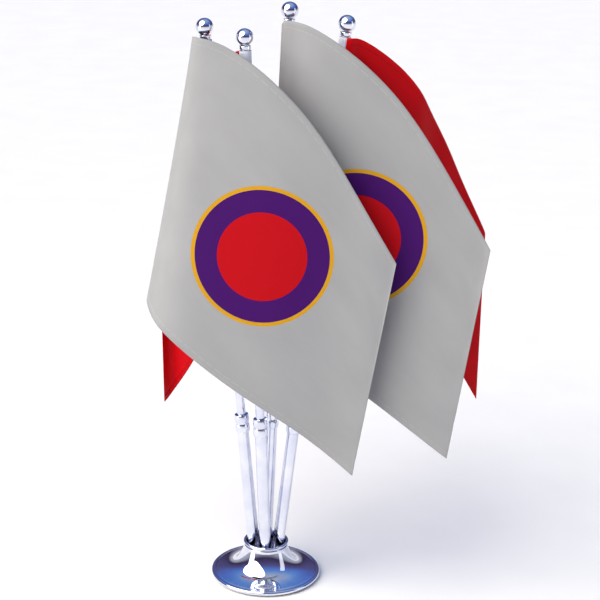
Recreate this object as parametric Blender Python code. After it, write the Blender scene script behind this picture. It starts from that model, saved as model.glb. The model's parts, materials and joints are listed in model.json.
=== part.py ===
"""Desk flag stand: a weighted chrome base that holds four poles in a fan, each with a cloth flag.

Each pole is a fixed lower tube with a beaded collar, and a thinner rod that slides in it.
A rod carries a flag, whose cloth sleeve turns on the rod, and a finial screwed onto its top.
Lengths are in metres, +Z is up, and the origin is where the base's centre meets the desk.
"""
import bmesh
import bpy
import numpy as np
from math import cos, pi, radians, sin
from mathutils import Vector

MM = 0.001
GAP = 0.3 * MM                      # between two pieces that touch

# Poles
ROD_RADIUS = 3.0 * MM
ROD_LENGTH = 308.0 * MM
TUBE_WALL = 0.7 * MM
TUBE_RADIUS = ROD_RADIUS + GAP + TUBE_WALL
TUBE_LENGTH = 91.0 * MM             # above the hub
STUD_RADIUS = 1.5 * MM              # thread on the rod's top, for the finial
STUD_LENGTH = 5.0 * MM
COLLAR_WAIST = TUBE_RADIUS + 0.5 * MM
COLLAR_RADIUS = COLLAR_WAIST + 0.6 * MM     # the two beads where rod and tube meet
COLLAR_HEIGHT = 13.0 * MM
COLLAR_LAP = 4.0 * MM               # of the collar over the tube
BALL_RADIUS = 5.7 * MM
BALL_FOOT = 2.6 * MM                # length of the finial's plain foot

# Base
BASE_RADIUS = 38.0 * MM
RIM_BEAD_RADIUS = 1.5 * MM          # the rolled edge round the rim
RIM_BEAD_HEIGHT = 2.6 * MM          # height of that roll's centre
SHELL_WALL = 1.2 * MM
SOCKET_SPREAD = 4.3 * MM            # from the base's axis to the near side of each tube
SOCKET_CIRCLE = SOCKET_SPREAD + TUBE_RADIUS
LEAN_ROOM = 1.4 * MM                # between an upright tube and the neck, for the poles to lean in
NECK_RADIUS = SOCKET_CIRCLE + TUBE_RADIUS + LEAN_ROOM + SHELL_WALL     # narrowest place, under the lip
NECK_HEIGHT = 22.0 * MM
LIP_RADIUS = NECK_RADIUS + 0.8 * MM
LIP_HEIGHT = NECK_HEIGHT + 3.9 * MM
PAD_THICKNESS = 1.2 * MM
PLATE_THICKNESS = 0.9 * MM

# Hub and its bolt
HUB_TOP = NECK_HEIGHT - 2.0 * MM
SOCKET_DEPTH = 8.0 * MM
HUB_BOTTOM = HUB_TOP - SOCKET_DEPTH - 3.4 * MM
BOLT_RADIUS = 2.5 * MM
BOLT_REACH = 2.2 * MM               # of the bolt into the hub
BOLT_HEAD_RADIUS = 4.5 * MM
BOLT_HEAD_HEIGHT = 2.6 * MM
WEIGHT_WEB = 2.0 * MM               # iron left above the bolt's head

# Cloth
SLEEVE_WALL = 0.7 * MM
CLOTH = 1.2 * MM
WHITE_HOIST = 165.0 * MM
RED_HOIST = 125.0 * MM

TURNED_SIDES = 36
ROUND_SIDES = 16

# One pole for each letter: where its socket stands round the base, how far it leans to +X,
# how much of the rod the tube holds, and where round the pole the cloth leaves its sleeve.
POLES = {
    "a": dict(turn=180.0, lean=-5.6, held=43.0 * MM, hoist=WHITE_HOIST, cloth="white", leaves=140.0),
    "b": dict(turn=270.0, lean=-2.9, held=49.0 * MM, hoist=RED_HOIST, cloth="red", leaves=195.0),
    "c": dict(turn=90.0, lean=1.5, held=34.5 * MM, hoist=WHITE_HOIST, cloth="white", leaves=215.0),
    "d": dict(turn=0.0, lean=5.9, held=39.0 * MM, hoist=RED_HOIST, cloth="red", leaves=285.0),
}

# A flag hangs between a top edge and a bottom edge, each a smooth curve led by these points, in
# millimetres from the top or the foot of its hoist. The first point, on the sleeve, is worked out.
TOP_EDGES = {
    "a": [(-7, 3, 0), (-8, -4, 3), (-5, -9, 3), (16, -16, 0), (65, -24, -37), (100, -31, -95), (124, -34, -135)],
    "b": [(-7, 4, -1), (-11, 13, -8), (-18, 19, -26), (-27, 25, -48), (-36, 31, -72), (-44, 38, -98),
          (-59, 46, -138)],
    "c": [(-5, -5, 0), (-4, -8, 4), (2, -11, 3), (18, -17, 2), (70, -27, -35), (112, -32, -103), (132, -34, -137)],
    "d": [(4, -5, 0), (12, -4, 0), (42, 2, -22), (51, 10, -40), (66, 18, -64), (79, 26, -93), (99, 34, -137)],
}
BOTTOM_EDGES = {
    "a": [(-24, 12, 0), (-58, 11, -6), (-55, -14, -12), (-42, -27, -24), (-2, -33, -57), (46, -35, -86),
          (84, -36, -118)],
    "b": [(-6, 5, -1), (-10, 14, -9), (-17, 20, -23), (-26, 27, -41), (-31, 34, -68), (-37, 41, -94),
          (-62, 49, -133)],
    "c": [(-7, -4, -1), (-8, -8, -13), (-2, -13, -17), (2, -18, -27), (30, -25, -57), (72, -31, -85),
          (115, -34, -118)],
    "d": [(5, -5, -1), (19, -5, -6), (33, 0, -16), (49, 8, -32), (65, 16, -54), (85, 24, -86),
          (112, 32, -132)],
}
CLOTH_COLUMNS = 24
CLOTH_ROWS = 6


def clear_scene():
    for item in list(bpy.data.objects):
        bpy.data.objects.remove(item, do_unlink=True)


def material(name, colour, roughness, metallic=0.0):
    made = bpy.data.materials.new(name)
    made.use_nodes = True
    shader = made.node_tree.nodes["Principled BSDF"]
    shader.inputs["Base Color"].default_value = (*colour, 1.0)
    shader.inputs["Roughness"].default_value = roughness
    shader.inputs["Metallic"].default_value = metallic
    return made


def put(name, mesh, finish, location=(0, 0, 0), lean=0.0):
    """Links a mesh as an object, leaned to +X by turning it about Y."""
    item = bpy.data.objects.new(name, mesh)
    bpy.context.scene.collection.objects.link(item)
    if finish is not None:
        mesh.materials.append(finish)
    item.location = location
    item.rotation_euler = (0.0, lean, 0.0)
    return item


def turned(name, outline, sides):
    """A mesh turned about Z from an outline of (radius, height), closed on itself or on the axis."""
    work = bmesh.new()
    corners = [work.verts.new((radius, 0.0, height)) for radius, height in outline]
    open_ended = outline[0][0] == 0.0 and outline[-1][0] == 0.0
    for here, there in zip(corners, corners[1:] + ([] if open_ended else corners[:1])):
        work.edges.new((here, there))
    bmesh.ops.spin(work, geom=work.verts[:] + work.edges[:], cent=(0, 0, 0), axis=(0, 0, 1),
                   angle=2 * pi, steps=sides, use_merge=False)
    bmesh.ops.remove_doubles(work, verts=work.verts[:], dist=0.01 * MM)
    bmesh.ops.recalc_face_normals(work, faces=work.faces[:])
    mesh = bpy.data.meshes.new(name)
    work.to_mesh(mesh)
    work.free()
    mesh.shade_smooth()
    mesh.set_sharp_from_angle(angle=radians(30))
    return mesh


def arc(centre_radius, centre_height, radius, start, end, steps):
    """Points of an arc, its angles in degrees from the +radius direction."""
    angles = [radians(start + (end - start) * step / steps) for step in range(steps + 1)]
    return [(centre_radius + radius * cos(a), centre_height + radius * sin(a)) for a in angles]


def bell_height(radius):
    """Height of the shell's outer face: a flat brim that sweeps up into the neck."""
    brim = RIM_BEAD_HEIGHT + 1.3 * MM
    share = (BASE_RADIUS - radius) / (BASE_RADIUS - NECK_RADIUS)
    return brim + (NECK_HEIGHT - brim) * (0.22 * share + 0.78 * share ** 5)


def bell(start, end, steps, drop):
    """Points along the bell between two radii, lowered by drop."""
    radii = [start + (end - start) * step / steps for step in range(steps + 1)]
    return [(radius, bell_height(radius) - drop) for radius in radii]


def base_shell(chrome):
    """Spun shell: rolled rim, flat brim, bell, neck and rolled lip, open underneath and on top."""
    inner_wall = NECK_RADIUS - SHELL_WALL
    rim_centre = BASE_RADIUS - RIM_BEAD_RADIUS
    outline = arc(rim_centre, RIM_BEAD_HEIGHT, RIM_BEAD_RADIUS, -150, 110, 6)
    outline += bell(rim_centre - 1.6 * MM, NECK_RADIUS, 9, 0.0)
    outline += [(NECK_RADIUS + 0.2 * MM, NECK_HEIGHT + 1.2 * MM)]
    lip_bead = (LIP_RADIUS - inner_wall) / 2
    outline += arc(LIP_RADIUS - lip_bead, LIP_HEIGHT - lip_bead, lip_bead, -20, 180, 4)
    outline += [(inner_wall, NECK_HEIGHT)]
    outline += bell(inner_wall, rim_centre - 3.0 * MM, 8, SHELL_WALL)[1:]
    return put("base_shell", turned("base_shell", outline, TURNED_SIDES), chrome)


def felt_pad(felt):
    radius = BASE_RADIUS - 4.4 * MM
    outline = [(0.0, 0.0), (radius, 0.0), (radius, PAD_THICKNESS), (0.0, PAD_THICKNESS)]
    return put("felt_pad", turned("felt_pad", outline, TURNED_SIDES), felt)


PLATE_BOTTOM = PAD_THICKNESS + GAP
PLATE_TOP = PLATE_BOTTOM + PLATE_THICKNESS
PLATE_RADIUS = BASE_RADIUS - 4.0 * MM
WEIGHT_BOTTOM = PLATE_TOP + GAP
WEIGHT_TOP = HUB_BOTTOM - GAP


def bottom_plate(steel):
    outline = [(0.0, PLATE_BOTTOM), (PLATE_RADIUS, PLATE_BOTTOM), (PLATE_RADIUS, PLATE_TOP), (0.0, PLATE_TOP)]
    return put("bottom_plate", turned("bottom_plate", outline, TURNED_SIDES), steel)


def base_weight(iron):
    """Cast ring that follows the inside of the shell, with a recess for the bolt's head."""
    inside = SHELL_WALL + GAP
    reach = BASE_RADIUS - 8.0 * MM
    shoulder = NECK_RADIUS + 3.0 * MM
    hole = BOLT_RADIUS + GAP
    recess = BOLT_HEAD_RADIUS + GAP
    recess_top = WEIGHT_TOP - WEIGHT_WEB
    outline = [(recess, WEIGHT_BOTTOM), (reach, WEIGHT_BOTTOM)]
    outline += [(radius, min(height, WEIGHT_TOP)) for radius, height in bell(reach, shoulder, 6, inside + 0.4 * MM)]
    outline += [(hole, WEIGHT_TOP), (hole, recess_top), (recess, recess_top)]
    return put("base_weight", turned("base_weight", outline, TURNED_SIDES), iron)


def centre_bolt(steel):
    head_top = WEIGHT_TOP - WEIGHT_WEB - GAP
    head_bottom = head_top - BOLT_HEAD_HEIGHT
    tip = HUB_BOTTOM + BOLT_REACH
    outline = [(0.0, head_bottom), (BOLT_HEAD_RADIUS, head_bottom), (BOLT_HEAD_RADIUS, head_top),
               (BOLT_RADIUS, head_top), (BOLT_RADIUS, tip), (0.0, tip)]
    return put("centre_bolt", turned("centre_bolt", outline, ROUND_SIDES), steel)


def pole_foot(pole):
    """Centre of a pole's socket in the hub's top face."""
    turn = radians(pole["turn"])
    return Vector((SOCKET_CIRCLE * cos(turn), SOCKET_CIRCLE * sin(turn), HUB_TOP))


def pole_direction(pole):
    lean = radians(pole["lean"])
    return Vector((sin(lean), 0.0, cos(lean)))


def pole_hub(brass):
    """Turned plug inside the neck, with a blind threaded hole below and a leaning socket for each tube."""
    radius = NECK_RADIUS - SHELL_WALL - GAP
    hole = BOLT_RADIUS + GAP
    hole_top = HUB_BOTTOM + BOLT_REACH + GAP
    outline = [(0.0, hole_top), (hole, hole_top), (hole, HUB_BOTTOM), (radius, HUB_BOTTOM), (radius, HUB_TOP),
               (0.0, HUB_TOP)]
    hub = put("pole_hub", turned("pole_hub", outline, TURNED_SIDES), brass)
    bore = TUBE_RADIUS + GAP
    for letter, pole in POLES.items():
        cut = [(0.0, -SOCKET_DEPTH), (bore, -SOCKET_DEPTH), (bore, SOCKET_DEPTH), (0.0, SOCKET_DEPTH)]
        cutter = put("cut_socket_" + letter, turned("cut_socket", cut, ROUND_SIDES), None,
                     pole_foot(pole), radians(pole["lean"]))
        cutter.hide_render = True
        cutter.display_type = "WIRE"
        socket = hub.modifiers.new("socket_" + letter, "BOOLEAN")
        socket.operation = "DIFFERENCE"
        socket.object = cutter
    return hub


def lower_tube_mesh():
    """Open tube from the socket's floor to the collar."""
    bore = ROD_RADIUS + GAP
    bottom = -SOCKET_DEPTH + GAP
    return turned("lower_tube", [(bore, bottom), (TUBE_RADIUS, bottom), (TUBE_RADIUS, TUBE_LENGTH),
                                 (bore, TUBE_LENGTH)], ROUND_SIDES)


def collar_mesh():
    """Two rounded beads with a waist, lapped over the tube's end, with a bore that the rod slides in."""
    bore = ROD_RADIUS + GAP
    lap = TUBE_RADIUS + GAP
    bottom = TUBE_LENGTH - COLLAR_LAP
    seat = TUBE_LENGTH + GAP
    half = COLLAR_HEIGHT / 2
    swell = COLLAR_RADIUS - COLLAR_WAIST
    steps = 8
    beads = []
    for step in range(steps + 1):
        along = step / steps
        beads.append((COLLAR_WAIST + swell * abs(sin(2 * pi * along)) ** 0.8 - swell * 0.5 * (along in (0.0, 1.0)),
                      bottom + 2 * half * along))
    return turned("collar", [(lap, bottom)] + beads[:-1] + [(ROD_RADIUS + 2 * GAP, bottom + COLLAR_HEIGHT),
                                                            (bore, bottom + COLLAR_HEIGHT - GAP),
                                                            (bore, seat), (lap, seat)], ROUND_SIDES)


def rod_mesh(length):
    """Rod with its shoulder at the given length of pole, and the finial's thread above it."""
    bottom = length - ROD_LENGTH
    return turned("upper_rod", [(0.0, bottom), (ROD_RADIUS, bottom), (ROD_RADIUS, length), (STUD_RADIUS, length),
                                (STUD_RADIUS, length + STUD_LENGTH), (0.0, length + STUD_LENGTH)], ROUND_SIDES)


def finial_mesh():
    """Ball on a plain foot, with a blind hole for the rod's thread; its origin is the rod's shoulder."""
    hole = STUD_RADIUS + GAP
    foot_radius = ROD_RADIUS + 0.7 * MM
    ball_centre = BALL_FOOT + 0.9 * BALL_RADIUS
    start = -90 + 42
    outline = [(0.0, STUD_LENGTH + GAP), (hole, STUD_LENGTH + GAP), (hole, GAP), (foot_radius, GAP),
               (foot_radius, BALL_FOOT)]
    outline += arc(0.0, ball_centre, BALL_RADIUS, start, 90, 7)
    outline[-1] = (0.0, outline[-1][1])
    return turned("finial", outline, ROUND_SIDES)


def sleeve_mesh(hoist):
    """Cloth tube round the rod; its origin is the top of the hoist."""
    bore = ROD_RADIUS + GAP
    return turned("sleeve", [(bore, -hoist), (bore + SLEEVE_WALL, -hoist), (bore + SLEEVE_WALL, 0.0), (bore, 0.0)],
                  ROUND_SIDES)


def smooth_curve(points, count):
    """Cubic B-spline led by the points, clamped to the first and the last."""
    lead = np.concatenate([[points[0]] * 2, points, [points[-1]] * 2])
    along = np.linspace(0.0, len(lead) - 3 - 1e-9, count)
    first = along.astype(int)
    t = (along - first)[:, None]
    weights = ((1 - t) ** 3, 3 * t ** 3 - 6 * t ** 2 + 4, -3 * t ** 3 + 3 * t ** 2 + 3 * t + 1, t ** 3)
    return sum(weight * lead[first + step] for step, weight in enumerate(weights)) / 6


def flag_mesh(letter, pole):
    """Straight cloth threads from the top edge to the bottom edge; its origin is the top of the hoist."""
    reach = ROD_RADIUS + GAP + SLEEVE_WALL + GAP + CLOTH / 2
    leaves = radians(pole["leaves"])
    on_sleeve = np.array([reach * cos(leaves), reach * sin(leaves), 0.0])
    foot_of_hoist = -np.array(pole_direction(pole)) * pole["hoist"]
    top = smooth_curve(np.vstack([on_sleeve, np.array(TOP_EDGES[letter]) * MM]), CLOTH_COLUMNS + 1)
    bottom = foot_of_hoist + smooth_curve(np.vstack([on_sleeve, np.array(BOTTOM_EDGES[letter]) * MM]),
                                          CLOTH_COLUMNS + 1)
    down = np.linspace(0.0, 1.0, CLOTH_ROWS + 1)[:, None, None]
    points = ((1 - down) * top[None] + down * bottom[None]).reshape(-1, 3)
    corner = np.arange(CLOTH_ROWS)[:, None] * (CLOTH_COLUMNS + 1) + np.arange(CLOTH_COLUMNS)[None]
    step = np.array([0, 1, CLOTH_COLUMNS + 2, CLOTH_COLUMNS + 1])
    faces = (corner[..., None] + step).reshape(-1, 4)
    mesh = bpy.data.meshes.new("flag_" + letter)
    mesh.from_pydata(points.tolist(), [], faces.tolist())
    mesh.shade_smooth()
    return mesh


def raise_pole(letter, pole, chrome, tape, cloths):
    """The pieces of one pole, all on its leaning axis."""
    foot = pole_foot(pole)
    axis = pole_direction(pole)
    lean = radians(pole["lean"])
    length = TUBE_LENGTH + ROD_LENGTH - pole["held"]
    shoulder = foot + axis * length
    hoist_top = shoulder - axis * (2 * GAP)
    put("lower_tube_" + letter, lower_tube_mesh(), chrome, foot, lean)
    put("lock_collar_" + letter, collar_mesh(), chrome, foot, lean)
    put("upper_rod_" + letter, rod_mesh(length), chrome, foot, lean)
    put("finial_" + letter, finial_mesh(), chrome, shoulder, lean)
    put("hoist_sleeve_" + letter, sleeve_mesh(pole["hoist"]), tape, hoist_top, lean)
    flag = put("flag_" + letter, flag_mesh(letter, pole), cloths[pole["cloth"]], hoist_top)
    thick = flag.modifiers.new("cloth", "SOLIDIFY")
    thick.thickness = CLOTH
    thick.offset = 0.0


def build():
    clear_scene()
    chrome = material("chrome_plate", (0.78, 0.80, 0.86), 0.08, 1.0)
    steel = material("zinc_plated_steel", (0.55, 0.56, 0.58), 0.35, 1.0)
    iron = material("cast_iron", (0.12, 0.12, 0.13), 0.7, 0.6)
    brass = material("nickel_plated_brass", (0.62, 0.62, 0.66), 0.2, 1.0)
    felt = material("black_felt", (0.02, 0.02, 0.025), 0.95)
    tape = material("white_header_tape", (0.8, 0.8, 0.85), 0.7)
    cloths = {"white": material("white_satin", (0.62, 0.62, 0.62), 0.5),
              "red": material("red_satin", (0.70, 0.01, 0.02), 0.4)}
    felt_pad(felt)
    bottom_plate(steel)
    base_weight(iron)
    centre_bolt(steel)
    base_shell(chrome)
    pole_hub(brass)
    for letter, pole in POLES.items():
        raise_pole(letter, pole, chrome, tape, cloths)


build()
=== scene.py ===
# %% [markdown]
# # A desk flag stand
#
# A weighted, chrome-plated base holds four poles in a fan. Each pole is a fixed tube with a beaded
# collar, and a thinner rod that slides in it. A rod carries a cloth flag, whose tape turns on the
# rod, and a ball finial. The moving frame is already packed, so this script only gives every part
# its finished surface: fine metal turnings, cloth that is as thin as cloth, hems, stitches and print.
#
# The frame comes first, since everything else is measured from it.

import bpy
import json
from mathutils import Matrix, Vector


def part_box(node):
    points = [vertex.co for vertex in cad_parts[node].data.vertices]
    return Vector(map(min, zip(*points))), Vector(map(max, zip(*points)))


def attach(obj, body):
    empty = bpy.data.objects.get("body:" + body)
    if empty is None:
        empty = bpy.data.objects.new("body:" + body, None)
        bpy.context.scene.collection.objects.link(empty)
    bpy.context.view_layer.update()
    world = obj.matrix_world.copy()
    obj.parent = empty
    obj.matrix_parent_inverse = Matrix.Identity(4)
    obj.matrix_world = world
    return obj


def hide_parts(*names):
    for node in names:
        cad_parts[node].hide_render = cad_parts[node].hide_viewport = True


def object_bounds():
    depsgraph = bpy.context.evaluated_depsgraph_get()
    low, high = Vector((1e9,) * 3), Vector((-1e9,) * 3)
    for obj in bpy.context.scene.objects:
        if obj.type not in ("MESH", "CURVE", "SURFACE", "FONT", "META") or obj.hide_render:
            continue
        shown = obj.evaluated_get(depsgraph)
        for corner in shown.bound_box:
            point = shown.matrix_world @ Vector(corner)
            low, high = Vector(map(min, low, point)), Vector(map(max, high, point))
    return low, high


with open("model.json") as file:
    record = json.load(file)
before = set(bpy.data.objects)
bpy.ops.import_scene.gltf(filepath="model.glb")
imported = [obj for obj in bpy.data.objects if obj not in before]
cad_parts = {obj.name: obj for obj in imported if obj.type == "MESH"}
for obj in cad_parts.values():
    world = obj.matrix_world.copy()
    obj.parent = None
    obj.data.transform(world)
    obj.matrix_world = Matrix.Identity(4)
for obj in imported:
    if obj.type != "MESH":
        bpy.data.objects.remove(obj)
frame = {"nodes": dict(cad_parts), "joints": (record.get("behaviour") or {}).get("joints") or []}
CAD_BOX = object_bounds()

# %% Tools and units
import json
from math import cos, pi, radians, sin

import bmesh
import bpy
import numpy as np
from mathutils import Euler, Matrix, Vector

MM = 0.001
LETTERS = "abcd"
WHITE_FLAGS = "ac"

# %% [markdown]
# ## From numbers to meshes
#
# A mesh could be made point by point in a loop, but a mesh also takes whole arrays. Every surface
# here is a grid: a function of two parameters, worked out in numpy at once. `grid_mesh` joins its
# neighbours with quads. Where a grid closes on itself, as a turned part does, the last line of
# points is joined to the first, and points that fall together at a pole are merged.

# %% A mesh from a grid of points
def grid_mesh(name, points, close_down=False, close_across=False, maps=None):
    """Quad (i, j) joins the points (i, j), (i, j+1), (i+1, j+1) and (i+1, j), counted round a closed side."""
    rows, columns = points.shape[:2]
    down = np.arange(rows if close_down else rows - 1)[:, None]
    across = np.arange(columns if close_across else columns - 1)[None]
    next_down = (down + 1) % rows
    next_across = (across + 1) % columns
    corners = [down * columns + across, down * columns + next_across,
               next_down * columns + next_across, next_down * columns + across]
    quads = np.stack(corners, axis=-1).reshape(-1, 4)
    mesh = bpy.data.meshes.new(name)
    mesh.from_pydata(points.reshape(-1, 3).tolist(), [], quads.tolist())
    for title, values in (maps or {}).items():
        layer = mesh.uv_layers.new(name=title)
        layer.data.foreach_set("uv", values.reshape(-1, 2)[quads.ravel()].astype(np.float32).ravel())
    return mesh


def close_and_face_out(mesh):
    """Merges points that fall together, drops what that flattens, and turns every face outward."""
    work = bmesh.new()
    work.from_mesh(mesh)
    bmesh.ops.remove_doubles(work, verts=work.verts[:], dist=0.001 * MM)
    bmesh.ops.dissolve_degenerate(work, edges=work.edges[:], dist=0.0005 * MM)
    bmesh.ops.recalc_face_normals(work, faces=work.faces[:])
    work.to_mesh(mesh)
    work.free()


# %% A piece from a mesh
def put_piece(name, mesh, finish, slot, body, *nodes):
    """Links the mesh as an object at the origin, riding on its body and standing for its frame nodes."""
    mesh.materials.append(finish)
    mesh.shade_smooth()
    mesh.set_sharp_from_angle(angle=radians(38))
    piece = bpy.data.objects.new(name, mesh)
    bpy.context.scene.collection.objects.link(piece)
    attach(piece, body)
    if nodes:
        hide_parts(*nodes)
    return piece


# %% [markdown]
# ## Materials: one helper, real names
#
# Each finish is a node tree that ends in a Principled BSDF. `add` puts in one node with its settings
# and links, whatever its kind, so a material reads as a list of steps. Colours are written as sRGB
# hex, as a paint card gives them, and turned to linear light once. A value that is the same all
# over the surface is set on the shader itself.

# %% Colour and node helpers
def linear(hex_colour):
    """sRGB hex to linear RGBA: c / 12.92 below 0.04045, else ((c + 0.055) / 1.055) ** 2.4."""
    coded = np.array([int(hex_colour[i:i + 2], 16) for i in (1, 3, 5)]) / 255
    light = np.where(coded <= 0.04045, coded / 12.92, ((coded + 0.055) / 1.055) ** 2.4)
    return (*light.tolist(), 1.0)


def add(tree, kind, inputs=None, **settings):
    """One node of a kind: settings are its properties, and each input is a value or another node's output."""
    node = tree.nodes.new("ShaderNode" + kind)
    for title, value in settings.items():
        setattr(node, title, value)
    for title, value in (inputs or {}).items():
        if isinstance(value, bpy.types.NodeSocket):
            tree.links.new(value, node.inputs[title])
        else:
            node.inputs[title].default_value = value
    return node


def ramp(tree, factor, stops, interpolation="LINEAR"):
    """A colour ramp of (place, hex colour) stops."""
    node = add(tree, "ValToRGB", {"Fac": factor})
    node.color_ramp.interpolation = interpolation
    elements = node.color_ramp.elements
    while len(elements) < len(stops):
        elements.new(1.0)
    for element, (place, colour) in zip(elements, stops):
        element.position = place
        element.color = linear(colour)
    return node


def start_material(name, **uniform):
    """A new material and its shader, with the values that are the same all over."""
    made = bpy.data.materials.new(name)
    made.use_nodes = True
    shader = made.node_tree.nodes["Principled BSDF"]
    for title, value in uniform.items():
        shader.inputs[title.replace("_", " ")].default_value = value
    return made, made.node_tree, shader


# %% [markdown]
# ## Chrome plate
#
# The base, tubes, collars, rods and finials are steel and zinc, polished and plated with chromium.
# Bright chrome is nearly a mirror with a slightly blue cast. What tells it from a computer mirror
# is its polish: faint cloudy patches from handling, and a very slow waviness from the buffing
# wheel. Both come from noise in millimetres on Object coordinates, so they don't stretch.

# %% Chromium plate, buffed
def chromium_plate():
    made, tree, shader = start_material("chromium_plate", Metallic=1.0)
    place = add(tree, "TexCoord").outputs["Object"]
    handling = add(tree, "TexNoise", {"Vector": place, "Scale": 1 / (14 * MM), "Detail": 3.0})
    tint = ramp(tree, handling.outputs["Fac"], [(0.35, "#D6DAEA"), (0.65, "#E9EBF4")])
    cloud = add(tree, "MapRange", {"Value": handling.outputs["Fac"], "From Min": 0.4, "From Max": 0.75,
                                   "To Min": 0.035, "To Max": 0.10})
    buffing = add(tree, "TexNoise", {"Vector": place, "Scale": 1 / (5 * MM), "Detail": 1.0})
    waves = add(tree, "Bump", {"Height": buffing.outputs["Fac"], "Strength": 0.12, "Distance": 0.05 * MM})
    tree.links.new(tint.outputs["Color"], shader.inputs["Base Color"])
    tree.links.new(cloud.outputs["Result"], shader.inputs["Roughness"])
    tree.links.new(waves.outputs["Normal"], shader.inputs["Normal"])
    return made


CHROME = chromium_plate()
print("made", CHROME.name)

# %% [markdown]
# ## The metals underneath
#
# Under the bright shell sit a turned plug that holds the tubes, an iron casting for weight, and a
# zinc-plated plate and bolt. Turning leaves fine rings round the axis, casting leaves a sandy skin,
# and zinc shows soft blotches, its crystals. These pieces keep their frame shape, and only their
# finish is new.

# %% Turned nickel-plated brass, cast iron and zinc-plated steel
WAVE_TURN = 2 * pi / 20            # a Wave texture of scale 1 repeats after this length
TOOL_MARKS = 0.754 * MM


def turned_nickel():
    made, tree, shader = start_material("nickel_plated_brass_turned", Metallic=1.0)
    shader.inputs["Base Color"].default_value = linear("#B9B6C6")
    place = add(tree, "TexCoord").outputs["Object"]
    rings = add(tree, "TexWave", {"Vector": place, "Scale": WAVE_TURN / TOOL_MARKS, "Distortion": 0.4,
                                  "Detail": 2.0}, wave_type="RINGS", rings_direction="Z")
    gloss = add(tree, "MapRange", {"Value": rings.outputs["Fac"], "To Min": 0.16, "To Max": 0.30})
    marks = add(tree, "Bump", {"Height": rings.outputs["Fac"], "Strength": 0.3, "Distance": 0.03 * MM})
    tree.links.new(gloss.outputs["Result"], shader.inputs["Roughness"])
    tree.links.new(marks.outputs["Normal"], shader.inputs["Normal"])
    return made


def cast_iron():
    made, tree, shader = start_material("cast_iron_raw", Metallic=0.7)
    place = add(tree, "TexCoord").outputs["Object"]
    sand = add(tree, "TexNoise", {"Vector": place, "Scale": 1 / (0.9 * MM), "Detail": 6.0, "Roughness": 0.7})
    colour = ramp(tree, sand.outputs["Fac"], [(0.3, "#2B2B2E"), (0.7, "#4A4845")])
    gloss = add(tree, "MapRange", {"Value": sand.outputs["Fac"], "To Min": 0.55, "To Max": 0.85})
    skin = add(tree, "Bump", {"Height": sand.outputs["Fac"], "Strength": 0.6, "Distance": 0.25 * MM})
    tree.links.new(colour.outputs["Color"], shader.inputs["Base Color"])
    tree.links.new(gloss.outputs["Result"], shader.inputs["Roughness"])
    tree.links.new(skin.outputs["Normal"], shader.inputs["Normal"])
    return made


def zinc_plated_steel():
    made, tree, shader = start_material("zinc_plated_steel", Metallic=1.0)
    place = add(tree, "TexCoord").outputs["Object"]
    crystals = add(tree, "TexVoronoi", {"Vector": place, "Scale": 1 / (4 * MM)})
    colour = ramp(tree, crystals.outputs["Distance"], [(0.0, "#A9ADB2"), (1.0, "#C3C6CA")])
    gloss = add(tree, "MapRange", {"Value": crystals.outputs["Distance"], "To Min": 0.28, "To Max": 0.42})
    tree.links.new(colour.outputs["Color"], shader.inputs["Base Color"])
    tree.links.new(gloss.outputs["Result"], shader.inputs["Roughness"])
    return made


for node, finish in (("pole_hub", turned_nickel()), ("base_weight", cast_iron())):
    frame["nodes"][node].data.materials[0] = finish
zinc = zinc_plated_steel()
for node in ("bottom_plate", "centre_bolt"):
    frame["nodes"][node].data.materials[0] = zinc
print("finished the hub, the weight, the plate and the bolt")

# %% [markdown]
# ## The spun base
#
# The base is one sheet spun over a former: a rolled rim, a flat brim that sweeps up into a bell, a
# narrow neck and a rolled lip. A lathe-like surface is the natural way to make it. The outline is a
# list of (radius, height) points from arcs and one curve, and it is turned about the axis.
# The bell's height grows with a fifth power, which keeps the brim flat and the neck steep.

# %% Outlines and turning
def arc(centre_radius, centre_height, radius, start, end, steps):
    """Points of an arc: the centre plus radius times (cos a, sin a), with a in degrees from start to end."""
    angles = np.radians(np.linspace(start, end, steps + 1))
    return np.stack([centre_radius + radius * np.cos(angles), centre_height + radius * np.sin(angles)], axis=1)


def softened(outline, radius, steps=5):
    """Swaps each inner corner P for (1-t)^2 A + 2t(1-t) P + t^2 B, with A and B up to radius from it."""
    before, corner, after = outline[:-2], outline[1:-1], outline[2:]
    back = before - corner
    ahead = after - corner
    back_length = np.linalg.norm(back, axis=1, keepdims=True)
    ahead_length = np.linalg.norm(ahead, axis=1, keepdims=True)
    start = corner + back / back_length * np.minimum(radius, 0.45 * back_length)
    end = corner + ahead / ahead_length * np.minimum(radius, 0.45 * ahead_length)
    t = np.linspace(0.0, 1.0, steps)[None, :, None]
    curves = (1 - t) ** 2 * start[:, None] + 2 * t * (1 - t) * corner[:, None] + t ** 2 * end[:, None]
    return np.vstack([outline[:1], curves.reshape(-1, 2), outline[-1:]])


def turned(outline, sides):
    """Point (i, j) is (r cos a, r sin a, h) for the outline's i-th radius and height and the j-th angle a."""
    angle = np.linspace(0.0, 2 * pi, sides, endpoint=False)
    radius = outline[:, :1]
    height = np.repeat(outline[:, 1:], sides, axis=1)
    return np.stack([radius * np.cos(angle), radius * np.sin(angle), height], axis=-1)


# %% The shell
shell_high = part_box("base_shell")[1]
BASE_RADIUS = shell_high.x
LIP_HEIGHT = shell_high.z
RIM_BEAD_RADIUS = 1.5 * MM
RIM_BEAD_HEIGHT = 2.6 * MM
SHELL_WALL = 1.2 * MM
NECK_RADIUS = 14.9 * MM
NECK_HEIGHT = 22.0 * MM
LIP_RADIUS = 15.7 * MM
RIM_GROOVE = 0.35 * MM


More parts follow.
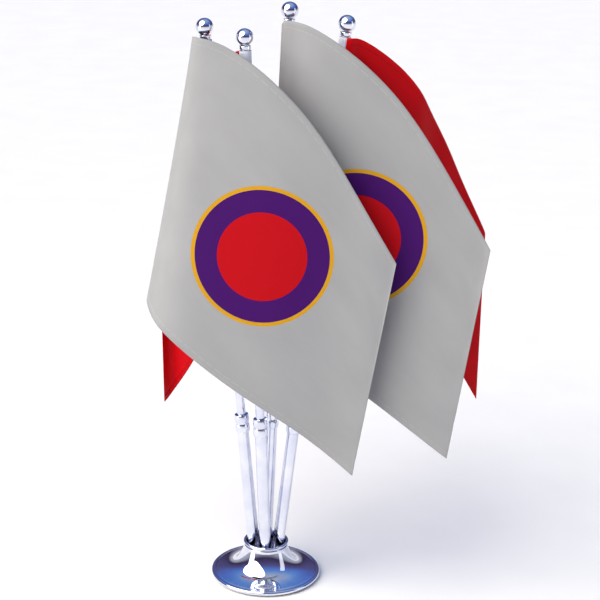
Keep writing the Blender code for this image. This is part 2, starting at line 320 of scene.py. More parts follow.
def bell_height(radius):
    """Brim height plus the rise times (0.22 s + 0.78 s^5), where s goes from 0 at the rim to 1 at the neck."""
    brim = RIM_BEAD_HEIGHT + 1.3 * MM
    share = (BASE_RADIUS - radius) / (BASE_RADIUS - NECK_RADIUS)
    return brim + (NECK_HEIGHT - brim) * (0.22 * share + 0.78 * share ** 5)


def bell(start, end, steps, drop=0.0):
    radii = np.linspace(start, end, steps + 1)
    return np.stack([radii, bell_height(radii) - drop], axis=1)


def shell_outline():
    inner_wall = NECK_RADIUS - SHELL_WALL
    rim_centre = BASE_RADIUS - RIM_BEAD_RADIUS
    lip_bead = (LIP_RADIUS - inner_wall) / 2
    groove = rim_centre - 1.1 * MM
    rim = arc(rim_centre, RIM_BEAD_HEIGHT, RIM_BEAD_RADIUS, -150, 100, 32)
    step = np.array([[groove, bell_height(groove) - RIM_GROOVE]])
    outside = bell(groove - 0.8 * MM, NECK_RADIUS, 60)
    lip = arc(LIP_RADIUS - lip_bead, LIP_HEIGHT - lip_bead, lip_bead, -40, 180, 22)
    inside = bell(inner_wall, rim_centre - 3.0 * MM, 40, SHELL_WALL)
    return np.vstack([rim, step, outside, lip, inside])


SHELL_SIDES = 160
shell = grid_mesh("chrome_base", turned(shell_outline(), SHELL_SIDES), close_down=True, close_across=True)
close_and_face_out(shell)
put_piece("chrome_base", shell, CHROME, "chrome_plate", "stand", "base_shell")
print("base", round(2 * BASE_RADIUS / MM, 1), "mm across,", len(shell.polygons), "faces")

# %% [markdown]
# ## The felt pad
#
# A disc of pressed wool under the base keeps the desk from scratches. Felt has no weave: it is a
# mat of short fibres with a soft, matt, slightly lint-specked face. The disc gets rounded edges, and
# the fibres are two scales of noise in colour and relief, with some sheen at grazing angles.

# %% Pressed felt
def pressed_felt():
    made, tree, shader = start_material("wool_felt_pressed", Roughness=0.97, Sheen_Weight=0.35,
                                        Sheen_Roughness=0.6)
    place = add(tree, "TexCoord").outputs["Object"]
    fibres = add(tree, "TexNoise", {"Vector": place, "Scale": 1 / (0.35 * MM), "Detail": 5.0,
                                    "Distortion": 1.5})
    matting = add(tree, "TexNoise", {"Vector": place, "Scale": 1 / (6 * MM), "Detail": 2.0})
    depth = add(tree, "Math", {0: fibres.outputs["Fac"], 1: matting.outputs["Fac"]}, operation="MULTIPLY")
    colour = ramp(tree, depth.outputs["Value"], [(0.1, "#141417"), (0.45, "#2A2A30")])
    pile = add(tree, "Bump", {"Height": depth.outputs["Value"], "Strength": 0.7, "Distance": 0.2 * MM})
    tree.links.new(colour.outputs["Color"], shader.inputs["Base Color"])
    tree.links.new(pile.outputs["Normal"], shader.inputs["Normal"])
    return made


pad_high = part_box("felt_pad")[1]
PAD_SIDES = 120
pad_outline = softened(np.array([[0.0, 0.0], [pad_high.x, 0.0], [pad_high.x, pad_high.z],
                                  [0.0, pad_high.z]]), 0.4 * MM)
pad = grid_mesh("felt_foot", turned(pad_outline, PAD_SIDES), close_across=True)
close_and_face_out(pad)
put_piece("felt_foot", pad, pressed_felt(), "felt", "stand", "felt_pad")
print("felt pad", round(2 * pad_high.x / MM, 1), "mm across")

# %% [markdown]
# ## Measuring the poles
#
# Every pole leans its own way, so its pieces are made upright round their axis and then turned onto
# it. The frame's joints give each axis and its ends. `extent` looks at a frame node from its pole's
# foot and gives its lowest and highest place along the axis and its greatest radius, so each finished
# piece gets its size from the node that it stands for.

# %% A frame for each pole
joints = {joint["name"]: joint for joint in frame["joints"]}
HUB_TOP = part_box("pole_hub")[1].z


def pole_frame(letter):
    """The pole's foot on the hub, and the unit rows across, back and along that make up its frame."""
    joint = joints["finial_screw_" + letter]
    along = np.array(joint["axis"])
    shoulder = np.array(joint["pos_m"])
    foot = shoulder - along * (shoulder[2] - HUB_TOP) / along[2]
    across = np.array([along[2], 0.0, -along[0]])
    return foot, np.array([across, [0.0, 1.0, 0.0], along]), (shoulder - foot) @ along


def node_points(node):
    points = np.empty(len(frame["nodes"][node].data.vertices) * 3)
    frame["nodes"][node].data.vertices.foreach_get("co", points)
    return points.reshape(-1, 3)


def extent(node, letter):
    """Lowest and highest place along the pole, and the greatest distance from its axis."""
    foot, rows, _ = pole_frame(letter)
    own = (node_points(node) - foot) @ rows.T
    return own[:, 2].min(), own[:, 2].max(), np.hypot(own[:, 0], own[:, 1]).max()


def onto_pole(points, letter):
    """Upright points times the pole's rows, plus its foot."""
    foot, rows, _ = pole_frame(letter)
    return points @ rows + foot


def put_turned(name, outline, sides, letter, body, node, closed=True):
    """A turned chrome piece on a pole; closed joins the outline's last point to its first."""
    mesh = grid_mesh(name, onto_pole(turned(outline, sides), letter), close_down=closed, close_across=True)
    close_and_face_out(mesh)
    return put_piece(name, mesh, CHROME, "chrome_plate", body, node)


for letter in LETTERS:
    print("pole", letter, "rises", round(pole_frame(letter)[2] / MM, 1), "mm above the hub")

# %% [markdown]
# ## Tubes, collars, rods and finials
#
# The lower tube is drawn steel with a thin wall. The collar on its end is turned with two round beads
# and a waist, and grips the rod. The rod has a fine thread on top for the ball. All four are
# turned surfaces like the base, with small rounded edges that catch the light as real ones do.
# The thread's grooves are rings, not a helix, because it is hidden in the ball.

# %% Outlines of the pole's metal
CLEARANCE = 0.3 * MM
ROD_RADIUS = extent("upper_rod_a", "a")[2]
STUD_LENGTH = 5.0 * MM
STUD_RADIUS = 1.5 * MM
THREAD_PITCH = 0.5 * MM
COLLAR_LAP = 4.0 * MM
COLLAR_WAIST = 4.5 * MM
BALL_FOOT_RADIUS = 3.7 * MM
BALL_FOOT_HEIGHT = 2.6 * MM
SIDES = 64


def ring_outline(points, softness):
    """A closed outline: its corners softened, from the middle of its last side back to there."""
    points = np.array(points)
    middle = (points[:1] + points[-1:]) / 2
    return softened(np.vstack([middle, points, middle]), softness)[:-1]


def tube_outline(low, high, radius):
    bore = ROD_RADIUS + CLEARANCE
    return ring_outline([(bore, low), (radius, low), (radius, high), (bore, high)], 0.25 * MM)


def collar_outline(low, high, radius):
    """Beads: waist plus swell times |sin|^0.8 over two half waves, closed by the stepped bore."""
    bore = ROD_RADIUS + CLEARANCE
    lap = extent("lower_tube_a", "a")[2] + CLEARANCE
    seat = low + COLLAR_LAP + CLEARANCE
    share = np.linspace(0.02, 0.98, 41)
    beads = COLLAR_WAIST + (radius - COLLAR_WAIST) * np.abs(np.sin(2 * pi * share)) ** 0.8
    outside = np.stack([beads, low + (high - low) * share], axis=1)
    inside = np.array([(ROD_RADIUS + 1.6 * CLEARANCE, high), (bore, high - CLEARANCE), (bore, seat),
                       (lap, seat), (lap, low)])
    return np.vstack([outside, inside])


def rod_outline(low, high):
    """A plain rod with a chamfered foot, a shoulder, and a thread of triangular grooves on its stud."""
    shoulder = high - STUD_LENGTH
    turns = np.arange(shoulder + THREAD_PITCH, high - THREAD_PITCH, THREAD_PITCH)
    crests = np.stack([np.full_like(turns, STUD_RADIUS), turns], axis=1)
    roots = np.stack([np.full_like(turns, STUD_RADIUS - 0.2 * MM), turns + THREAD_PITCH / 2], axis=1)
    thread = np.stack([crests, roots], axis=1).reshape(-1, 2)
    body = softened(np.array([(0.0, low), (ROD_RADIUS, low), (ROD_RADIUS, shoulder),
                              (STUD_RADIUS, shoulder)]), 0.3 * MM)
    return np.vstack([body, thread, [(STUD_RADIUS - 0.3 * MM, high), (0.0, high)]])


def finial_outline(shoulder, high, radius):
    """A blind hole, a foot with a rounded edge, and a ball from 40 degrees above its underside to its top."""
    hole = STUD_RADIUS + CLEARANCE
    hole_top = shoulder + STUD_LENGTH + CLEARANCE
    foot_low = shoulder + CLEARANCE
    foot_high = shoulder + BALL_FOOT_HEIGHT
    foot = [(0.0, hole_top), (hole, hole_top), (hole, foot_low), (BALL_FOOT_RADIUS, foot_low),
            (BALL_FOOT_RADIUS, foot_high), (BALL_FOOT_RADIUS - 0.3 * MM, foot_high)]
    ball = arc(0.0, high - radius, radius, -90 + 40, 90, 40)
    ball[-1, 0] = 0.0
    return np.vstack([softened(np.array(foot), 0.35 * MM), ball])


# %% Raise the metal of every pole
for letter in LETTERS:
    tube = extent("lower_tube_" + letter, letter)
    collar = extent("lock_collar_" + letter, letter)
    rod = extent("upper_rod_" + letter, letter)
    ball = extent("finial_" + letter, letter)
    shoulder = pole_frame(letter)[2]
    put_turned("drawn_tube_" + letter, tube_outline(*tube), SIDES, letter, "stand", "lower_tube_" + letter)
    put_turned("beaded_collar_" + letter, collar_outline(*collar), SIDES, letter, "stand",
               "lock_collar_" + letter)
    put_turned("sliding_rod_" + letter, rod_outline(*rod[:2]), SIDES, letter, "rod_" + letter,
               "upper_rod_" + letter, closed=False)
    put_turned("ball_finial_" + letter, finial_outline(shoulder, *ball[1:]), SIDES, letter, "finial_" + letter,
               "finial_" + letter, closed=False)
    print("pole", letter, "rod", round((rod[1] - rod[0]) / MM), "mm, ball", round(2 * ball[2] / MM, 1), "mm")

# %% [markdown]
# ## How a flag hangs
#
# A cloth simulation could drop each flag, but the stiff satin of desk flags holds a shape that is
# easier to say outright. The cloth has a top edge and a bottom edge, each a smooth curve through the
# air, and straight threads run from one to the other. Both curves are cubic B-splines, led by a few
# points in millimetres from the top or the foot of the hoist, and the frame's flags follow the same
# ones. The surface is thus a function of two parameters: along the flag, and down it.

# %% The edges of the four flags
TOP_EDGES = {
    "a": [(-7, 3, 0), (-8, -4, 3), (-5, -9, 3), (16, -16, 0), (65, -24, -37), (100, -31, -95),
          (124, -34, -135)],
    "b": [(-7, 4, -1), (-11, 13, -8), (-18, 19, -26), (-27, 25, -48), (-36, 31, -72), (-44, 38, -98),
          (-59, 46, -138)],
    "c": [(-5, -5, 0), (-4, -8, 4), (2, -11, 3), (18, -17, 2), (70, -27, -35), (112, -32, -103),
          (132, -34, -137)],
    "d": [(4, -5, 0), (12, -4, 0), (42, 2, -22), (51, 10, -40), (66, 18, -64), (79, 26, -93), (99, 34, -137)],
}
BOTTOM_EDGES = {
    "a": [(-24, 12, 0), (-58, 11, -6), (-55, -14, -12), (-42, -27, -24), (-2, -33, -57), (46, -35, -86),
          (84, -36, -118)],
    "b": [(-6, 5, -1), (-10, 14, -9), (-17, 20, -23), (-26, 27, -41), (-31, 34, -68), (-37, 41, -94),
          (-62, 49, -133)],
    "c": [(-7, -4, -1), (-8, -8, -13), (-2, -13, -17), (2, -18, -27), (30, -25, -57), (72, -31, -85),
          (115, -34, -118)],
    "d": [(5, -5, -1), (19, -5, -6), (33, 0, -16), (49, 8, -32), (65, 16, -54), (85, 24, -86),
          (112, 32, -132)],
}
LEAVES = {"a": 140.0, "b": 195.0, "c": 215.0, "d": 285.0}   # degrees round the pole, where cloth leaves tape
CUT_SIZE = {"a": (0.225, 0.165), "b": (0.160, 0.125), "c": (0.225, 0.165), "d": (0.160, 0.125)}
SATIN_THICKNESS = 0.35 * MM


def smooth_curve(points, share):
    """Cubic B-spline led by the points and clamped to its ends, at shares from 0 to 1 of its length."""
    lead = np.concatenate([[points[0]] * 2, points, [points[-1]] * 2])
    place = np.asarray(share) * (len(lead) - 3 - 1e-9)
    first = place.astype(int)
    t = (place - first)[:, None]
    weights = ((1 - t) ** 3, 3 * t ** 3 - 6 * t ** 2 + 4, -3 * t ** 3 + 3 * t ** 2 + 3 * t + 1, t ** 3)
    return sum(weight * lead[first + step] for step, weight in enumerate(weights)) / 6


# %% [markdown]
# ## Folds
#
# Satin never hangs dead smooth: it keeps shallow flutes that run down from the hoist. A flag that
# hangs steeply has more cloth than its outline shows, so it gathers into deeper ones. Flag b's are
# made deep enough to take up most of the cloth that it was cut from. A fold is a sine of the place
# along the cloth that drifts a little on the way down, moved out along the surface's own normal. It
# fades to nothing at the tape, where the cloth is sewn down, and weakens at the fly, which its hem
# stiffens.

# %% A flag's surface
# Each fold is (depth in mm, waves along the flag, drift of the wave from top to foot, phase).
FOLDS = {
    "a": [(1.1, 2.3, 0.25, 0.10), (0.45, 5.2, -0.5, 0.40)],
    "b": [(6.6, 3.7, 0.15, 0.33), (1.4, 7.4, -0.3, 0.30)],
    "c": [(1.2, 2.1, 0.30, 0.55), (0.45, 4.7, -0.4, 0.10)],
    "d": [(1.9, 2.6, 0.25, 0.35), (0.7, 5.5, -0.4, 0.80)],
}
FREE_FROM = 0.09                   # share of the length that the tape holds smooth
SET_BACK = {"a": 0.0, "b": 4.2, "c": 0.0, "d": 0.0}   # mm that deep folds stand clear of a neighbour


def hanging_cloth(letter, along, down, lift=0.0):
    """(1 - down) times the top edge plus down times the bottom edge, plus folds and lift along the normal."""
    joint = joints["flag_turn_" + letter]
    hoist = CUT_SIZE[letter][1]
    hoist_top = np.array(joint["pos_m"])
    foot = -np.array(joint["axis"]) * hoist
    leaves = radians(LEAVES[letter])
    reach = extent("hoist_sleeve_" + letter, letter)[2] + SATIN_THICKNESS / 2
    on_tape = np.array([reach * cos(leaves), reach * sin(leaves), 0.0])
    top = smooth_curve(np.vstack([on_tape, np.array(TOP_EDGES[letter]) * MM]), along)
    bottom = foot + smooth_curve(np.vstack([on_tape, np.array(BOTTOM_EDGES[letter]) * MM]), along)
    down = np.asarray(down)[:, None, None]
    flat = hoist_top + (1 - down) * top[None] + down * bottom[None]
    slope_across = np.gradient(flat, axis=1)
    slope_down = (bottom - top)[None]
    normal = np.cross(slope_across, slope_down)
    normal /= np.linalg.norm(normal, axis=2, keepdims=True)
    from_tape = np.clip((np.asarray(along) - FREE_FROM) / 0.3, 0.0, 1.0)[None, :, None]
    to_fly = np.clip((np.asarray(along) - 0.7) / 0.3, 0.0, 1.0)[None, :, None]
    settle = from_tape ** 2 * (3 - 2 * from_tape) * (1 - 0.7 * to_fly ** 2 * (3 - 2 * to_fly))
    wave = sum(depth * MM * np.sin(2 * pi * (waves * np.asarray(along)[None, :, None] + drift * down + phase))
               for depth, waves, drift, phase in FOLDS[letter])
    return flat + normal * (settle * (wave - SET_BACK[letter] * MM) + lift)


def cloth_area(points):
    """Sum over the quads of half the length of the cross product of their diagonals."""
    one = points[1:, 1:] - points[:-1, :-1]
    other = points[1:, :-1] - points[:-1, 1:]
    return np.linalg.norm(np.cross(one, other), axis=2).sum() / 2


for letter in LETTERS:
    surface = hanging_cloth(letter, np.linspace(0, 1, 121), np.linspace(0, 1, 61))
    width, hoist = CUT_SIZE[letter]
    print("flag", letter, "keeps", round(cloth_area(surface) / (width * hoist), 2), "of its cut area")

# %% [markdown]
# ## Maps on the cloth
#
# Weave, stitches and print follow the cloth, so each flag carries two maps, and each white flag a third, all in
# metres.
# `cloth` runs along the flag and down it, for the weave. `edge` holds the distance to the nearest free edge
# and the way along it, for the stitching. `print`, on the white flags only, is centred on the printed roundel. It
# is measured as the front of the flag is seen, and runs on round the fold.

# %% Three maps in metres
PRINT_CENTRE = {"a": (38.1, -133.8), "c": (45.8, -134.0)}    # mm from the top of the hoist, across and up


def cloth_maps(letter, along, down):
    """Maps of a flag at the given shares of its length and hoist, all in metres."""
    width, hoist = CUT_SIZE[letter]
    points = hanging_cloth(letter, along, down)
    u = np.repeat(np.asarray(along)[None] * width, len(down), axis=0)
    v = np.repeat(np.asarray(down)[:, None] * hoist, len(along), axis=1)
    sides = np.stack([v, hoist - v, width - u])
    nearest = sides.min(axis=0)
    way = np.where(sides.argmin(axis=0) == 2, v, u)
    maps = {"cloth": np.stack([u, v], axis=-1), "edge": np.stack([nearest, way], axis=-1)}
    if letter in PRINT_CENTRE:
        steps = np.abs(np.diff(points[..., 0], axis=1))
        from_fly = np.concatenate([np.cumsum(steps[:, ::-1], axis=1)[:, ::-1], np.zeros((len(down), 1))],
                                  axis=1)
        origin = np.array(joints["flag_turn_" + letter]["pos_m"])
        across = points[:, -1:, 0] - from_fly - origin[0] - PRINT_CENTRE[letter][0] * MM
        up = points[..., 2] - origin[2] - PRINT_CENTRE[letter][1] * MM
        maps["print"] = np.stack([across, up], axis=-1)
    return maps


# %% [markdown]
# ## Satin
#
# Desk flags are polyester satin: long floats of glossy yarn on the face give a soft broad sheen.
# The threads are about 0.1 mm apart, too fine to show, so the weave is drawn at 0.5 mm and kept
# shallow. The hem's lockstitch is a dashed line 4 mm from the edge, with stitches 2.5 mm long, from
# the `edge` map. The white flags carry a plain roundel, a design made for this stand: a red
# disc in a violet ring, with a thin gold line round it.

# %% Satin and its print
THREAD = 0.5 * MM
HEM = 5.0 * MM
STITCH_LINE = 4.0 * MM
STITCH_LENGTH = 2.5 * MM
STITCH_PITCH = 3.3 * MM
STITCH_WIDTH = 0.45 * MM


def stitches(tree, distance, way, line):
    """1 on a stitch: close to the line, and in the stitched part of each pitch along it."""
    off = add(tree, "Math", {0: distance, 1: line}, operation="SUBTRACT")
    aside = add(tree, "Math", {0: off.outputs["Value"]}, operation="ABSOLUTE")
    on_line = add(tree, "Math", {0: aside.outputs["Value"], 1: STITCH_WIDTH / 2}, operation="LESS_THAN")
    run = add(tree, "Math", {0: way, 1: STITCH_PITCH}, operation="FLOORED_MODULO")
    sewn = add(tree, "Math", {0: run.outputs["Value"], 1: STITCH_LENGTH}, operation="LESS_THAN")
    return add(tree, "Math", {0: on_line.outputs["Value"], 1: sewn.outputs["Value"]}, operation="MULTIPLY")


def weave(tree, uv, spacing):
    """Height of a plain weave: the greater of two sets of rounded threads that cross."""
    warp = add(tree, "TexWave", {"Vector": uv, "Scale": WAVE_TURN / spacing}, bands_direction="X")
    weft = add(tree, "TexWave", {"Vector": uv, "Scale": WAVE_TURN / spacing}, bands_direction="Y")
    return add(tree, "Math", {0: warp.outputs["Fac"], 1: weft.outputs["Fac"]}, operation="MAXIMUM")


PRINT_REACH = 50 * MM              # a little more than the print's radius
DISC_EDGE = 29.0 * MM / PRINT_REACH
RING_EDGE = 43.5 * MM / PRINT_REACH
LINE_EDGE = 46.0 * MM / PRINT_REACH


def printed_device(tree, cloth_colour):
    """Bands of the distance from the print's centre: a disc, a ring and a thin line round them."""
    spot = add(tree, "UVMap", uv_map="print").outputs["UV"]
    length = add(tree, "VectorMath", {0: spot}, operation="LENGTH")
    distance = add(tree, "Math", {0: length.outputs["Value"], 1: PRINT_REACH}, operation="DIVIDE")
    inks = ramp(tree, distance.outputs["Value"], [(0.0, "#B40914"), (DISC_EDGE, "#400F5E"),
                                                  (RING_EDGE, "#C8931A")], "CONSTANT")
    in_print = ramp(tree, distance.outputs["Value"], [(0.0, "#FFFFFF"), (LINE_EDGE, "#000000")], "CONSTANT")
    return add(tree, "Mix", {"Factor": in_print.outputs["Color"], 6: cloth_colour, 7: inks.outputs["Color"]},
               data_type="RGBA").outputs[2]


def satin(name, deep, light, thread, roughness, sheen, printed=False):
    made, tree, shader = start_material(name, Sheen_Weight=sheen, Sheen_Roughness=0.35, Anisotropic=0.35,
                                        Specular_IOR_Level=0.08)
    uv = add(tree, "UVMap", uv_map="cloth").outputs["UV"]
    slub = add(tree, "TexNoise", {"Vector": uv, "Scale": 1 / (22 * MM), "Detail": 4.0})
    colour = ramp(tree, slub.outputs["Fac"], [(0.3, deep), (0.7, light)]).outputs["Color"]
    if printed:
        colour = printed_device(tree, colour)
    edge = add(tree, "SeparateXYZ", {"Vector": add(tree, "UVMap", uv_map="edge").outputs["UV"]})
    stitch = stitches(tree, edge.outputs["X"], edge.outputs["Y"], STITCH_LINE)
    sewn = add(tree, "Mix", {"Factor": stitch.outputs["Value"], 6: colour, 7: linear(thread)}, data_type="RGBA")
    gloss = add(tree, "MapRange", {"Value": slub.outputs["Fac"], "To Min": roughness - 0.05,
                                   "To Max": roughness + 0.05})
    threads = weave(tree, uv, THREAD)
    relief = add(tree, "Bump", {"Height": threads.outputs["Value"], "Strength": 0.15, "Distance": 0.05 * MM})
    pucker = add(tree, "Bump", {"Height": stitch.outputs["Value"], "Strength": 0.6, "Distance": 0.25 * MM,
                                "Normal": relief.outputs["Normal"]})
    tree.links.new(sewn.outputs[2], shader.inputs["Base Color"])
    tree.links.new(gloss.outputs["Result"], shader.inputs["Roughness"])
    tree.links.new(pucker.outputs["Normal"], shader.inputs["Normal"])
    return made


# The white satin is coloured mid grey, #9B9B9A to #A1A1A0, with grey thread #ACACAB. This is painted shade that
# darkens the whole white cloth and its hem.
PRINTED_SATIN = satin("polyester_satin_white_printed", "#9B9B9A", "#A1A1A0", "#ACACAB", 0.58, 0.04,
                      printed=True)
WHITE_SATIN = satin("polyester_satin_white", "#9B9B9A", "#A1A1A0", "#ACACAB", 0.58, 0.04)
RED_SATIN = satin("polyester_satin_red", "#BA020D", "#C60310", "#94030B", 0.46, 0.0)
print("made three satins")

# %% [markdown]
# ## Header tape
#
# The hoist of each flag is sewn into a narrow white tape, folded into a sleeve that slips over the
# rod. It is matt and close-woven. The sleeve is a tube, a little proud along its seam and creased
# here and there, given a wall by Solidify. Two rows of stitches run beside the seam.

# %% Woven tape
TAPE_SPACING = 0.8 * MM


def header_tape():
    made, tree, shader = start_material("polyester_tape_woven", Roughness=0.82, Sheen_Weight=0.3,
                                        Sheen_Roughness=0.5)
    uv = add(tree, "UVMap", uv_map="tape").outputs["UV"]
    soil = add(tree, "TexNoise", {"Vector": uv, "Scale": 1 / (9 * MM), "Detail": 3.0})
    colour = ramp(tree, soil.outputs["Fac"], [(0.3, "#C4C7D2"), (0.7, "#D6D9E2")])
    spot = add(tree, "SeparateXYZ", {"Vector": uv})
    aside = add(tree, "Math", {0: spot.outputs["X"]}, operation="ABSOLUTE")
    stitch = stitches(tree, aside.outputs["Value"], spot.outputs["Y"], 1.2 * MM)
    sewn = add(tree, "Mix", {"Factor": stitch.outputs["Value"], 6: colour.outputs["Color"], 7: linear("#EEF0F4")},
               data_type="RGBA")
    threads = weave(tree, uv, TAPE_SPACING)
    relief = add(tree, "Bump", {"Height": threads.outputs["Value"], "Strength": 0.4, "Distance": 0.08 * MM})
    pucker = add(tree, "Bump", {"Height": stitch.outputs["Value"], "Strength": 0.7, "Distance": 0.2 * MM,
                                "Normal": relief.outputs["Normal"]})
    tree.links.new(sewn.outputs[2], shader.inputs["Base Color"])
    tree.links.new(pucker.outputs["Normal"], shader.inputs["Normal"])
    return made


TAPE = header_tape()
TAPE_THICKNESS = 0.4 * MM
TAPE_SIDES = 49
TAPE_ROWS = 90


def solidify(piece, thickness):
    wall = piece.modifiers.new("thickness", "SOLIDIFY")
    wall.thickness = thickness
    wall.offset = 0.0
    wall.use_even_offset = True


def tape_sleeve(letter):
    """Radius: the wall's middle, plus a ridge of exp(-(a / 0.35)^2) at the seam, plus shallow creases."""
    low, high, radius = extent("hoist_sleeve_" + letter, letter)
    angle = np.linspace(-pi, pi, TAPE_SIDES)[None]
    height = np.linspace(low, high, TAPE_ROWS)[:, None]
    middle = radius - TAPE_THICKNESS / 2 - 0.15 * MM
    ridge = 0.12 * MM * np.exp(-(angle / 0.35) ** 2)
    creases = 0.07 * MM * (np.sin(2 * pi * height / (11 * MM) + 2 * angle)
                           * np.sin(2 * pi * height / (37 * MM) + 1.0))
    shape = middle + ridge + creases
    leaves = radians(LEAVES[letter])
    points = np.stack([shape * np.cos(angle + leaves), shape * np.sin(angle + leaves),
                       np.repeat(height, TAPE_SIDES, axis=1)], axis=-1)
    around = np.repeat(angle * middle, TAPE_ROWS, axis=0)
    tape_map = np.stack([around, np.repeat(height, TAPE_SIDES, axis=1)], axis=-1)
    mesh = grid_mesh("hoist_tape_" + letter, onto_pole(points, letter), maps={"tape": tape_map})
    close_and_face_out(mesh)
    piece = put_piece("hoist_tape_" + letter, mesh, TAPE, "header_tape", "flag_" + letter,
                      "hoist_sleeve_" + letter)
    solidify(piece, TAPE_THICKNESS)
    return piece


tapes = {letter: tape_sleeve(letter) for letter in LETTERS}
print("sleeves of", len(tapes), "flags on their rods")

# %% [markdown]
# ## Flags and hems
#
# Each flag is one fine grid with a thin wall. Its free edges are turned over to the back and sewn,
# so a second, narrow layer lies behind them. The layer is the same surface, lifted off the back by
# one thickness of cloth, along the top, the fly and the foot.

# %% Cut, hem and hang
ALONG = 170
DOWN = 110
HEM_FROM = 8                       # columns beside the tape that have no hem
HEM_INSET = 0.002                  # share by which the hem stays inside the edge


def strip(letter, along, down, lift):
    """One grid of the flag's surface, with its maps read from the same places."""
    maps = cloth_maps(letter, along, down)
    return hanging_cloth(letter, along, down, lift), maps


def hem_mesh(letter):
    """Three strips behind the cloth, joined into one mesh: along the top, the foot and the fly."""
    width, hoist = CUT_SIZE[letter]
    deep = HEM / hoist
    wide = HEM / width
    lift = SATIN_THICKNESS * 1.15
    lengthwise = np.linspace(0.0, 1.0, ALONG + 1)
    strips = [(lengthwise[HEM_FROM:], np.linspace(HEM_INSET, deep, 5)),
              (lengthwise[HEM_FROM:], np.linspace(1 - deep, 1 - HEM_INSET, 5)),
              (np.linspace(1 - wide, 1 - HEM_INSET, 6), np.linspace(deep, 1 - deep, DOWN))]
    work = bmesh.new()
    for along, down in strips:
        points, maps = strip(letter, along, down, lift)
        part = grid_mesh("hem_strip", points, maps=maps)
        work.from_mesh(part)
        bpy.data.meshes.remove(part)
    mesh = bpy.data.meshes.new("flag_hem_" + letter)
    work.to_mesh(mesh)
    work.free()
    return mesh


def hang_flag(letter):
    finish = PRINTED_SATIN if letter in WHITE_FLAGS else RED_SATIN
    slot = "white_satin" if letter in WHITE_FLAGS else "red_satin"
    points, maps = strip(letter, np.linspace(0, 1, ALONG + 1), np.linspace(0, 1, DOWN + 1), 0.0)
    mesh = grid_mesh("cloth_flag_" + letter, points, maps=maps)
    flag = put_piece("cloth_flag_" + letter, mesh, finish, slot, "flag_" + letter, "flag_" + letter)
    solidify(flag, SATIN_THICKNESS)
    plain = WHITE_SATIN if letter in WHITE_FLAGS else RED_SATIN
    hem = put_piece("flag_hem_" + letter, hem_mesh(letter), plain, slot, "flag_" + letter)
    solidify(hem, SATIN_THICKNESS * 0.9)
    print("flag", letter, "has", len(mesh.polygons), "quads and covers",
          round(cloth_area(points) * 1e4), "cm2")


for letter in LETTERS:
    hang_flag(letter)

# %% [markdown]
# ## Floor and light
#
# The stand is shown on a wide, pale floor. A large soft sun from the upper left does most of the
# work, so that the floor stays even to the horizon. Chrome shows what is round it, so the sky holds
# a cool blue overhead and a darker violet band low down, which give the metal its contrast, and two
# soft boxes put bright edges on the tubes.

# %% Floor
FLOOR_SIZE = 30.0


def pale_paint():
    made, tree, shader = start_material("floor_paint_matt")
    place = add(tree, "TexCoord").outputs["Object"]
    roll = add(tree, "TexNoise", {"Vector": place, "Scale": 1 / (60 * MM), "Detail": 3.0})
    colour = ramp(tree, roll.outputs["Fac"], [(0.3, "#F7F5EE"), (0.7, "#FAF8F1")])
    gloss = add(tree, "MapRange", {"Value": roll.outputs["Fac"], "To Min": 0.75, "To Max": 0.85})
    tree.links.new(colour.outputs["Color"], shader.inputs["Base Color"])
    tree.links.new(gloss.outputs["Result"], shader.inputs["Roughness"])
    return made


half = FLOOR_SIZE / 2
floor_mesh = bpy.data.meshes.new("studio_floor")
corners = [(-half, -half, 0), (half, -half, 0), (half, half, 0), (-half, half, 0)]
floor_mesh.from_pydata(corners, [], [(0, 1, 2, 3)])
floor_mesh.materials.append(pale_paint())
floor = bpy.data.objects.new("studio_floor", floor_mesh)
bpy.context.scene.collection.objects.link(floor)


# %% Light
def put_light(name, kind, place, target, energy, colour, **settings):
    light = bpy.data.lights.new(name, kind)
    light.energy = energy
    light.color = linear(colour)[:3]
    for title, value in settings.items():
        setattr(light, title, value)
    lamp = bpy.data.objects.new(name, light)
    bpy.context.scene.collection.objects.link(lamp)
    lamp.location = place
    lamp.rotation_euler = (Vector(target) - Vector(place)).to_track_quat("-Z", "Y").to_euler()
    return lamp


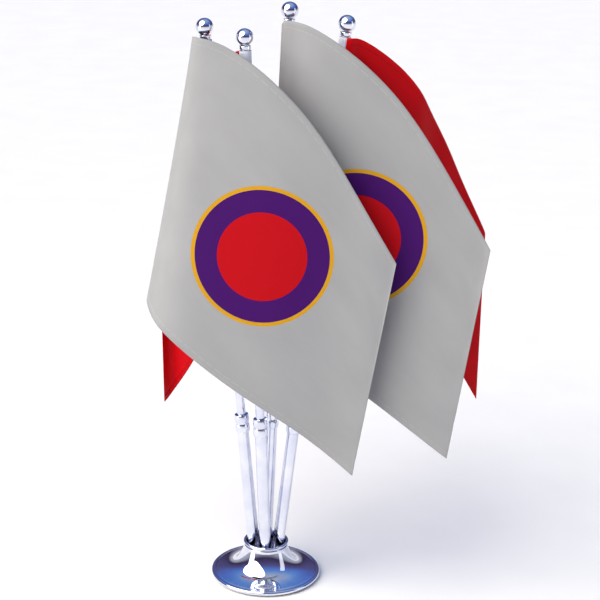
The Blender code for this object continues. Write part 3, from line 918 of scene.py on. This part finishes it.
middle = ((CAD_BOX[0][0] + CAD_BOX[1][0]) / 2, 0.0, CAD_BOX[1][2] / 2)
put_light("soft_sun", "SUN", (-1.9, -1.3, 2.8), middle, 3.7, "#FFF7E8", angle=radians(65))
put_light("left_box", "AREA", (-1.1, -0.5, 0.5), middle, 4.0, "#FFFFFF", shape="RECTANGLE", size=0.5,
          size_y=1.0)
put_light("right_box", "AREA", (1.2, -0.3, 0.5), middle, 1.0, "#FFFFFF", shape="RECTANGLE", size=0.4,
          size_y=1.0)


def studio_sky():
    """Sky colour by height of the direction: pale at the horizon, violet above it, then blue, then white."""
    world = bpy.data.worlds.new("studio_sky")
    bpy.context.scene.world = world
    world.use_nodes = True
    tree = world.node_tree
    direction = add(tree, "SeparateXYZ", {"Vector": add(tree, "TexCoord").outputs["Generated"]})
    sky = ramp(tree, direction.outputs["Z"], [(0.0, "#F2F3F8"), (0.12, "#C9CBDC"), (0.22, "#4E3F62"),
                                              (0.45, "#6C6AA4"), (0.56, "#6C8CEC"), (0.72, "#7CB0FF"),
                                              (1.0, "#DCE8FF")])
    background = tree.nodes["Background"]
    background.inputs["Strength"].default_value = 0.62
    tree.links.new(sky.outputs["Color"], background.inputs["Color"])


studio_sky()

# %% [markdown]
# ## Camera
#
# A long lens from a little above looks slightly down on the stand, which keeps the poles straight
# and opens the base into an ellipse. The camera leans a degree to one side.

# %% Camera
CAMERA_PLACE = (20.1 * MM, -1072.2 * MM, 556.2 * MM)
CAMERA_PITCH = radians(18.294)
CAMERA_ROLL = radians(1.223)
LENS = 101.94

camera_data = bpy.data.cameras.new("studio_camera")
camera_data.lens = LENS
camera_data.sensor_width = 36.0
camera_data.clip_end = 60.0
camera = bpy.data.objects.new("studio_camera", camera_data)
bpy.context.scene.collection.objects.link(camera)
turn = Euler((radians(90) - CAMERA_PITCH, 0.0, 0.0)).to_matrix() @ Matrix.Rotation(CAMERA_ROLL, 3, "Z")
camera.matrix_world = Matrix.Translation(CAMERA_PLACE) @ turn.to_4x4()
bpy.context.scene.camera = camera
bpy.context.scene.view_settings.view_transform = "Standard"

# %% Corners as plain lists of floats
def plain(corners):
    return [[float(value) for value in corner] for corner in corners]
